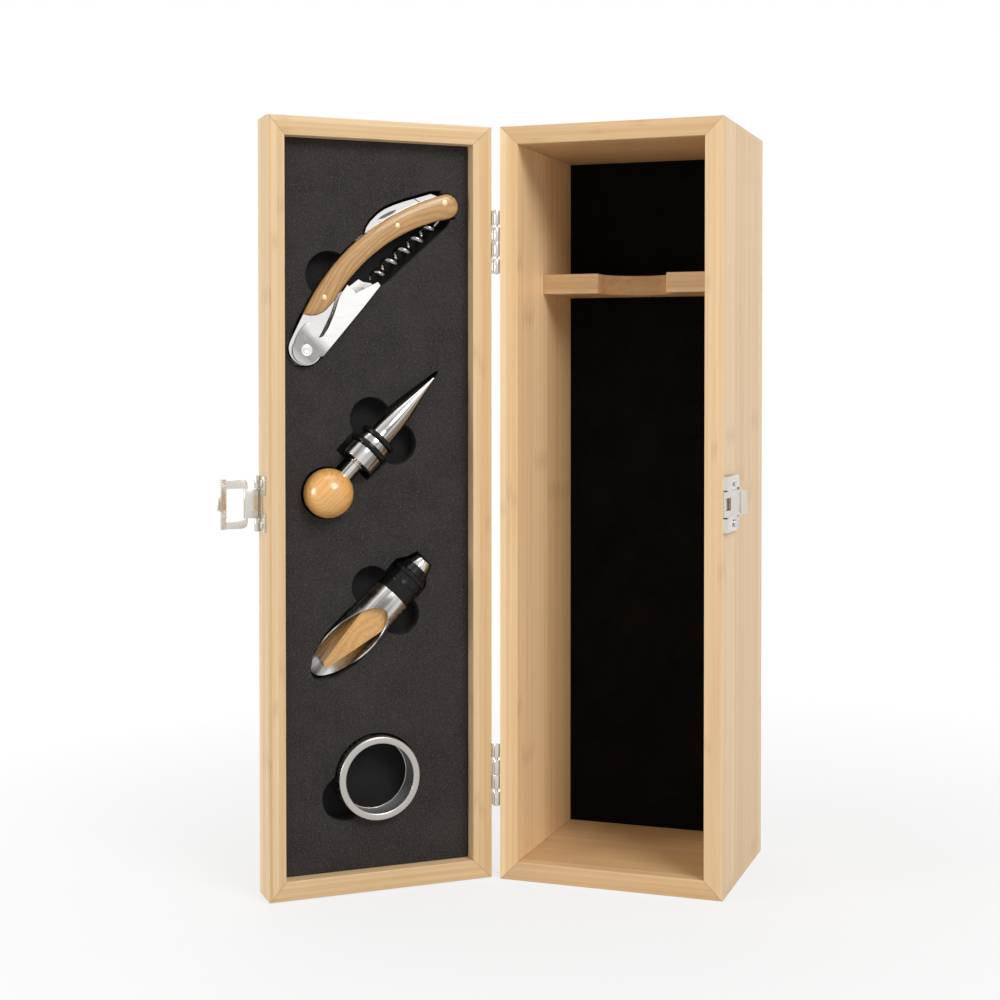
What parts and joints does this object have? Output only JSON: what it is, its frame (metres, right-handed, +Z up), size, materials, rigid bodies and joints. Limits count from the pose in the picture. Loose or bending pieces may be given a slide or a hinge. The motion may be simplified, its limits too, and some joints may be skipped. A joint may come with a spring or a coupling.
{
  "type": "wine bottle box",
  "caption": "Wooden box that holds one bottle behind a hinged, latched door, whose foam tray carries a corkscrew, stopper, pourer and drip ring.",
  "frame": {"origin": "centre of the underside of the box body, without the door", "axes": "+X to the right seen from the front, +Y to the back, +Z up; the door stands open, the tools lie in the tray"},
  "size_m": [0.2217, 0.163, 0.355],
  "materials": {
    "bamboo": "satin clear lacquer on laminated bamboo",
    "bamboo_panel": "satin clear lacquer on bamboo veneer",
    "black_board": "matte black lining",
    "nickel": "bright nickel plate",
    "foam": "charcoal closed-cell foam",
    "satin_steel": "satin stainless steel",
    "polished_steel": "polished stainless steel",
    "dark_steel": "dark coated steel",
    "handle_wood": "oiled open-grained wood",
    "ball_wood": "glossy lacquered wood",
    "brass": "satin brass",
    "rubber": "black rubber",
    "felt": "black felt"
  },
  "bodies": {
    "box": {"box_left_side": "bamboo", "box_right_side": "bamboo", "box_top": "bamboo", "box_bottom": "bamboo", "back_panel": "bamboo_panel", "back_liner": "black_board", "neck_shelf": "bamboo", "upper_hinge_box_leaf": "nickel", "lower_hinge_box_leaf": "nickel", "upper_hinge_pin": "nickel", "lower_hinge_pin": "nickel", "hinge_box_screws": "nickel", "keeper": "nickel", "keeper_screws": "nickel"},
    "door": {"door_hinge_stile": "bamboo", "door_latch_stile": "bamboo", "door_top_rail": "bamboo", "door_bottom_rail": "bamboo", "door_panel": "bamboo_panel", "foam_backing": "black_board", "foam_tray": "foam", "upper_hinge_door_leaf": "nickel", "lower_hinge_door_leaf": "nickel", "hinge_door_screws": "nickel", "latch_base": "nickel", "latch_base_screws": "nickel", "latch_pin": "nickel"},
    "latch_link": {"latch_link": "nickel"},
    "latch_flap": {"latch_flap": "nickel"},
    "corkscrew": {"corkscrew_frame": "satin_steel", "corkscrew_front_scale": "handle_wood", "corkscrew_back_scale": "handle_wood", "handle_rivets": "brass", "lever_rivet": "satin_steel", "worm_pin": "brass"},
    "lever": {"corkscrew_lever": "satin_steel"},
    "worm": {"corkscrew_worm": "dark_steel"},
    "blade": {"foil_blade": "polished_steel"},
    "stopper": {"stopper_ball": "ball_wood", "stopper_body": "polished_steel", "stopper_rings": "rubber"},
    "pourer": {"pourer_spout": "polished_steel", "pourer_insert": "ball_wood", "pourer_sleeve": "rubber", "pourer_nose": "polished_steel"},
    "drip_ring": {"drip_ring": "satin_steel", "ring_felt": "felt"}
  },
  "joints": [
    {"name": "door_swing", "type": "hinge", "parent": "box", "child": "door", "pos_m": [-0.0556, -0.04325, 0], "axis": [0, 0, -1], "range_deg": [-138.6, 41.4]},
    {"name": "latch_link_swing", "type": "hinge", "parent": "door", "child": "latch_link", "pos_m": [-0.14969, -0.10414, 0.1798], "axis": [0, 0, -1], "range_deg": [-59.7, 60]},
    {"name": "latch_flap_swing", "type": "hinge", "parent": "latch_link", "child": "latch_flap", "pos_m": [-0.15341, -0.10742, 0.1798], "axis": [0, 0, -1], "range_deg": [-30.3, 80]},
    {"name": "corkscrew_lift", "type": "slide", "parent": "door", "child": "corkscrew", "axis": [0.6613, -0.7501, 0], "range_m": [0, 0.12]},
    {"name": "lever_swing", "type": "hinge", "parent": "corkscrew", "child": "lever", "pos_m": [-0.1304, -0.0954, 0.2496], "axis": [-0.6613, 0.7501, 0], "range_deg": [0, 150]},
    {"name": "worm_swing", "type": "hinge", "parent": "corkscrew", "child": "worm", "pos_m": [-0.08056, -0.05146, 0.31889], "axis": [0.6613, -0.7501, 0], "range_deg": [0, 90]},
    {"name": "blade_swing", "type": "hinge", "parent": "corkscrew", "child": "blade", "pos_m": [-0.08056, -0.05146, 0.31889], "axis": [-0.6613, 0.7501, 0], "range_deg": [0, 170]},
    {"name": "stopper_lift", "type": "slide", "parent": "door", "child": "stopper", "axis": [0.6613, -0.7501, 0], "range_m": [0, 0.06]},
    {"name": "pourer_lift", "type": "slide", "parent": "door", "child": "pourer", "axis": [0.6613, -0.7501, 0], "range_m": [0, 0.06]},
    {"name": "drip_ring_lift", "type": "slide", "parent": "door", "child": "drip_ring", "axis": [0.6613, -0.7501, 0], "range_m": [0, 0.06]}
  ],
  "couplings": [
    {"joint": "lever_swing", "follows": "corkscrew_lift", "rad_per_m": 21.817},
    {"joint": "worm_swing", "follows": "corkscrew_lift", "rad_per_m": 13.09},
    {"joint": "blade_swing", "follows": "corkscrew_lift", "rad_per_m": 24.726}
  ]
}
